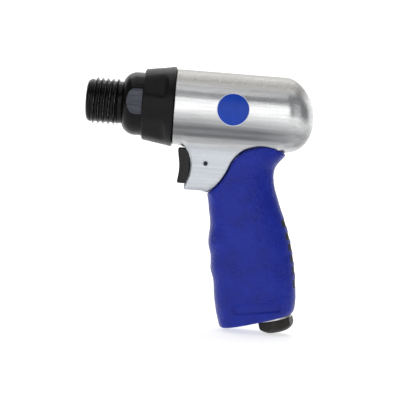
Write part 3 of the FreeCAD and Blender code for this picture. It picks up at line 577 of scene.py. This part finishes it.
def m_collar():
    m = Mat("collar_rubber")
    a = m.noise(420, (1, 1, 1), 4, 0.6)
    b = m.noise(40, (1, 1, 1), 3, 0.5)
    col = m.ramp(b, [(0.3, (0.0018, 0.0018, 0.0020)), (0.7, (0.0045, 0.0045, 0.0052))])
    return m.out(col, m.math("ADD", m.rng(b, 0.26, 0.38, 0.3, 0.7), m.rng(a, -0.04, 0.06, 0.3, 0.7)), 0.0, m.bump(a, 0.16, 0.0002, m.bump(b, 0.30, 0.0012)), Specular_IOR_Level=0.17)


def m_cylinder():
    m = Mat("black_oxide_steel")
    x, y, z = m.xyz()
    ay = m.math("ABSOLUTE", y)
    flat = m.math("MULTIPLY", m.math("GREATER_THAN", ay, 0.018985), m.math("LESS_THAN", ay, 0.019015))
    flat = m.math("MULTIPLY", flat, m.math("GREATER_THAN", x, 0.0205))
    rad = m.math("SQRT", m.math("ADD", m.math("POWER", y, 2.0), m.math("POWER", z, 2.0)))
    # the thread crests are brighter steel: partly real wear, partly a painted highlight
    crest = m.math("MULTIPLY", m.rng(rad, 0.0, 1.0, 0.01480, 0.01515), m.math("LESS_THAN", x, 0.0195))
    wear_and_glint = m.noise(300, (1, 1, 1), 5, 0.65)
    ring = m.noise(1300, (1, 0.05, 0.05), 3, 0.6)
    base = m.ramp(wear_and_glint, [(0.35, (0.0035, 0.0035, 0.0038)), (0.7, (0.0085, 0.0083, 0.0080))])
    base = m.mix(m.math("MULTIPLY", crest, m.rng(wear_and_glint, 0.10, 0.5, 0.4, 0.65)), base, (0.26, 0.26, 0.27))
    base = m.mix(flat, base, m.ramp(m.noise(1500, (0.08, 1, 1), 4, 0.6), [(0.3, (0.036, 0.038, 0.048)), (0.7, (0.075, 0.078, 0.095))]))
    rough = m.math("ADD", m.rng(wear_and_glint, 0.14, 0.28, 0.3, 0.7), m.math("MULTIPLY", flat, 0.14))
    metal = m.math("MAXIMUM", m.math("MULTIPLY", crest, 0.8), m.math("MAXIMUM", flat, 0.45))
    h = m.math("ADD", ring, m.math("MULTIPLY", wear_and_glint, 0.4))
    return m.out(base, rough, metal, m.bump(h, 0.10, 0.00005), Specular_IOR_Level=0.22)


def m_fitting():
    m = Mat("phosphated_steel")
    a = m.noise(700, (1, 1, 1), 5, 0.7)
    b = m.noise(90, (1, 1, 1), 4, 0.6)
    col = m.ramp(b, [(0.3, (0.014, 0.013, 0.0115)), (0.6, (0.032, 0.029, 0.025)), (0.8, (0.060, 0.050, 0.040))])
    return m.out(col, m.math("ADD", m.rng(b, 0.42, 0.58, 0.3, 0.7), m.rng(a, -0.05, 0.06)), 0.55, m.bump(a, 0.25, 0.0002))


def m_trigger():
    m = Mat("gloss_black")
    a = m.noise(200, (1, 1, 1), 4, 0.6)
    b = m.noise(1800, (1, 1, 0.1), 3, 0.6)
    col = m.ramp(a, [(0.3, (0.0040, 0.0040, 0.0045)), (0.7, (0.0095, 0.0095, 0.0105))])
    return m.out(col, m.math("ADD", m.rng(a, 0.14, 0.26, 0.3, 0.7), m.rng(b, -0.02, 0.05)), 0.0, m.bump(a, 0.08, 0.0003), Specular_IOR_Level=0.26)


def m_badge():
    m = Mat("blue_badge")
    x, y, z = m.xyz()
    r = m.math("SQRT", m.math("ADD", m.math("POWER", m.math("SUBTRACT", x, 0.0948), 2.0), m.math("POWER", m.math("ADD", z, 0.0009), 2.0)))
    rim = m.rng(r, 0.0, 1.0, 0.01005, 0.0102)
    a = m.noise(260, (1, 1, 1), 4, 0.6)
    dots = m.noise(3500, (1, 1, 1), 2, 0.5)
    col = m.ramp(a, [(0.3, (0.0004, 0.036, 0.34)), (0.7, (0.0010, 0.048, 0.42))])
    col = m.mix(rim, col, (0.62, 0.66, 0.74))
    return m.out(col, m.math("ADD", m.rng(a, 0.28, 0.40, 0.3, 0.7), m.rng(dots, -0.03, 0.04)), 0.0, m.bump(dots, 0.05, 0.00005), Specular_IOR_Level=0.30)


def m_simple(name, dark, light, rough, metal, scale=300, stretch=(1, 1, 1), bump=0.12):
    m = Mat(name)
    a = m.noise(scale, stretch, 4, 0.6)
    b = m.noise(scale * 5, stretch, 3, 0.6)
    col = m.ramp(a, [(0.3, dark), (0.7, light)])
    return m.out(col, m.math("ADD", m.rng(a, rough - 0.06, rough + 0.08, 0.3, 0.7), m.rng(b, -0.03, 0.04)), metal, m.bump(b, bump, 0.0001))


ALU, GRIP, COLLAR, CYL, FIT, TRG, BADGE = m_aluminium(), m_grip(), m_collar(), m_cylinder(), m_fitting(), m_trigger(), m_badge()
SPRING = m_simple("spring_steel", (0.20, 0.20, 0.21), (0.36, 0.36, 0.37), 0.32, 1.0)
GROUND = m_simple("ground_steel", (0.42, 0.42, 0.43), (0.56, 0.56, 0.57), 0.22, 1.0, 500, (1, 0.1, 0.1))
BRASS = m_simple("turned_brass", (0.62, 0.44, 0.17), (0.78, 0.60, 0.28), 0.28, 1.0, 600, (1, 0.1, 0.1))
NITRILE = m_simple("nitrile", (0.010, 0.010, 0.010), (0.022, 0.022, 0.022), 0.5, 0.0)
SLOT = m_simple("slot_near_black", (0.0015, 0.0015, 0.003), (0.004, 0.004, 0.008), 0.6, 0.0)
OXIDE = m_simple("oxide_pin", (0.006, 0.006, 0.006), (0.016, 0.015, 0.014), 0.45, 0.3)
BRIGHT = m_simple("bright_washer", (0.58, 0.58, 0.59), (0.74, 0.74, 0.75), 0.25, 1.0, 500)


def paint(ob, mat):
    ob.data.materials.clear()
    ob.data.materials.append(mat)


FINISH = {"collar_retaining_ring": SPRING, "lock_washer": SPRING, "cylinder_o_ring": NITRILE, "front_valve_seat": GROUND, "rear_valve_seat": GROUND,
          "valve_dowel_pin": SPRING, "valve_wave_washer": SPRING, "valve_disc": GROUND, "piston": GROUND, "trigger_pin": OXIDE, "throttle_bushing": BRASS,
          "throttle_valve": BRASS, "throttle_seal": NITRILE, "throttle_spring": SPRING, "inlet_washer": BRIGHT, "bushing_o_ring": NITRILE,
          "inlet_strainer": BRIGHT, "side_badge": BADGE, "cylinder": CYL, "housing": ALU, "grip_sleeve": GRIP, "front_collar": COLLAR, "trigger": TRG, "inlet_bushing": FIT}
for node, mat in FINISH.items():
    if node in NODES:
        o = NODES[node]
        for i in range(max(1, len(o.material_slots))):
            if len(o.material_slots) == 0:
                o.data.materials.append(mat)
            else:
                o.material_slots[i].material = mat

# ------------------------------------------------------------------ replaced pieces
k = 1.0


def piece(name, f, lo, hi, h, mat, node, body):
    ob = mesh_from(name, f, lo, hi, h * k)
    paint(ob, mat)
    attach(ob, body)
    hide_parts(node)
    return ob


ROOT = "housing_group"
piece("housing_casting", housing_sdf, (44, -27, -140), (152, 27, 27), 0.7, ALU, "housing", ROOT)
grip = piece("grip_rubber", grip_sdf, (78, -20, -144), (150, 20, -18), 0.75, GRIP, "grip_sleeve", ROOT)
grip.data.materials.append(SLOT)
me = grip.data
cen = np.empty(len(me.polygons) * 3)
me.polygons.foreach_get("center", cen)
cen = cen.reshape(-1, 3) * 1000
_, gs, gt, gb = grip_raw(cen)
# faces inside the back slots take the near-black slot colour
index = np.zeros(len(me.polygons), np.int32)
for i, sc in enumerate(SLOT_S):
    index[(np.abs(gs - sc) < 2.45) & (np.abs(cen[:, 1]) < 10.8 - 0.3 * i) & (gt > gb - 6.0)] = 1
me.polygons.foreach_set("material_index", index)
me.update()
piece("collar_moulding", collar_sdf, (35, -28, -28), (58, 28, 28), 0.5, COLLAR, "front_collar", ROOT)
piece("trigger_moulding", trigger_sdf, (60, -8.5, -51.5), (85.5, 8.5, -25), 0.42, TRG, "trigger", "trigger")
cyl = cylinder_mesh()
paint(cyl, CYL)
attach(cyl, ROOT)
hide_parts("cylinder")


# the return spring, a wire coil built to fill the spring's box
def coil_mesh(name, lo, hi, wire, turns, n=120, ring=10):
    rad = (hi[2] - lo[2]) / 2 - wire
    zc, yc = (hi[2] + lo[2]) / 2, (hi[1] + lo[1]) / 2
    x0, x1 = lo[0] + wire, hi[0] - wire
    verts, faces = [], []
    for i in range(n + 1):
        u = i / n
        a = 2 * math.pi * turns * u
        x = x0 + (x1 - x0) * u
        for j in range(ring):
            b = 2 * math.pi * j / ring
            r = rad + wire * math.cos(b)
            verts.append((x + wire * math.sin(b), yc + r * math.sin(a), zc + r * math.cos(a)))
    for i in range(n):
        for j in range(ring):
            k0, k1 = i * ring + j, i * ring + (j + 1) % ring
            faces.append((k0, k1, k1 + ring, k0 + ring))
    faces.append(tuple(range(ring - 1, -1, -1)))
    faces.append(tuple(range(n * ring, (n + 1) * ring)))
    me = bpy.data.meshes.new(name)
    me.from_pydata(verts, [], faces)
    me.polygons.foreach_set("use_smooth", [True] * len(me.polygons))
    me.update()
    ob = bpy.data.objects.new(name, me)
    bpy.context.scene.collection.objects.link(ob)
    return ob


lo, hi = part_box("throttle_spring")
coil = coil_mesh("return_spring", lo, hi, 0.0004, 3.77)
paint(coil, SPRING)
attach(coil, ROOT)
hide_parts("throttle_spring")
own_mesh(coil)
piece("inlet_hexagon", bushing_sdf, (118, -14, -149), (150, 14, -112), 0.45, FIT, "inlet_bushing", ROOT)

# ------------------------------------------------------------------ stage, light, camera
def stage_sweep():
    me = bpy.data.meshes.new("sweep")
    prof = [(-1.6, 0.0)]
    for i in range(17):
        a = math.pi / 2 * i / 16
        prof.append((0.9 + 0.8 * math.sin(a), 0.8 - 0.8 * math.cos(a)))
    prof.append((1.7, 3.2))
    verts, faces = [], []
    for yy, zz in prof:
        verts += [(-3.5, yy, zz - 0.1441), (3.7, yy, zz - 0.1441)]
    for i in range(len(prof) - 1):
        faces.append((2 * i, 2 * i + 1, 2 * i + 3, 2 * i + 2))
    me.from_pydata(verts, [], faces)
    me.polygons.foreach_set("use_smooth", [True] * len(me.polygons))
    ob = bpy.data.objects.new("sweep", me)
    bpy.context.scene.collection.objects.link(ob)
    mt = bpy.data.materials.new("pale_sweep")
    mt.use_nodes = True
    b = mt.node_tree.nodes["Principled BSDF"]
    b.inputs["Base Color"].default_value = (0.62, 0.62, 0.62, 1)
    b.inputs["Roughness"].default_value = 0.9
    b.inputs["Specular IOR Level"].default_value = 0.1
    b.inputs["Emission Color"].default_value = (1, 1, 1, 1)
    b.inputs["Emission Strength"].default_value = 0.62
    me.materials.append(mt)


stage_sweep()


def area(name, loc, target, size, power, size_y=None, color=(1, 1, 1)):
    l = bpy.data.lights.new(name, "AREA")
    l.energy, l.size, l.color = power, size, color
    if size_y:
        l.shape = "RECTANGLE"
        l.size_y = size_y
    ob = bpy.data.objects.new(name, l)
    ob.location = loc
    ob.rotation_euler = (Vector(target) - Vector(loc)).to_track_quat("-Z", "Y").to_euler()
    bpy.context.scene.collection.objects.link(ob)
    return ob


MID = (0.08, 0.0, -0.03)
area("key_front", (0.02, -1.05, 0.165), MID, 1.10, 2.60, 0.58)
area("key_top", (-0.10, -0.45, 0.75), MID, 0.7, 0.42, 0.25)
area("fill_left", (-0.74, -0.78, 0.24), MID, 0.28, 1.35, 0.6)
area("fill_right", (0.95, -0.55, 0.12), MID, 0.6, 0.55, 0.8)
area("floor_top", (0.1, 0.35, 1.0), (0.1, 0.35, -0.146), 1.4, 6.5)
area("wall_light", (0.1, 0.45, 0.9), (0.1, 1.7, 0.1), 1.2, 9.0, 0.5)
world = bpy.data.worlds.new("studio")
bpy.context.scene.world = world
world.use_nodes = True
world.node_tree.nodes["Background"].inputs[0].default_value = (0.62, 0.63, 0.65, 1)
world.node_tree.nodes["Background"].inputs[1].default_value = 0.30

cam = bpy.data.cameras.new("camera")
cam.lens, cam.sensor_width, cam.clip_start, cam.clip_end = 95.5, 36.0, 0.01, 20.0
co = bpy.data.objects.new("camera", cam)
bpy.context.scene.collection.objects.link(co)
right = Vector((0.99678, 0, 0.0802))
up = Vector((-0.0802, 0, 0.99678))
back = right.cross(up)
m = Matrix((right, up, back)).transposed().to_4x4()
m.translation = Vector((0.0783, -0.700, -0.060))
co.matrix_world = m
bpy.context.scene.camera = co
vs = bpy.context.scene.view_settings
vs.view_transform = "Standard"
vs.exposure = 0.0

bpy.context.view_layer.update()
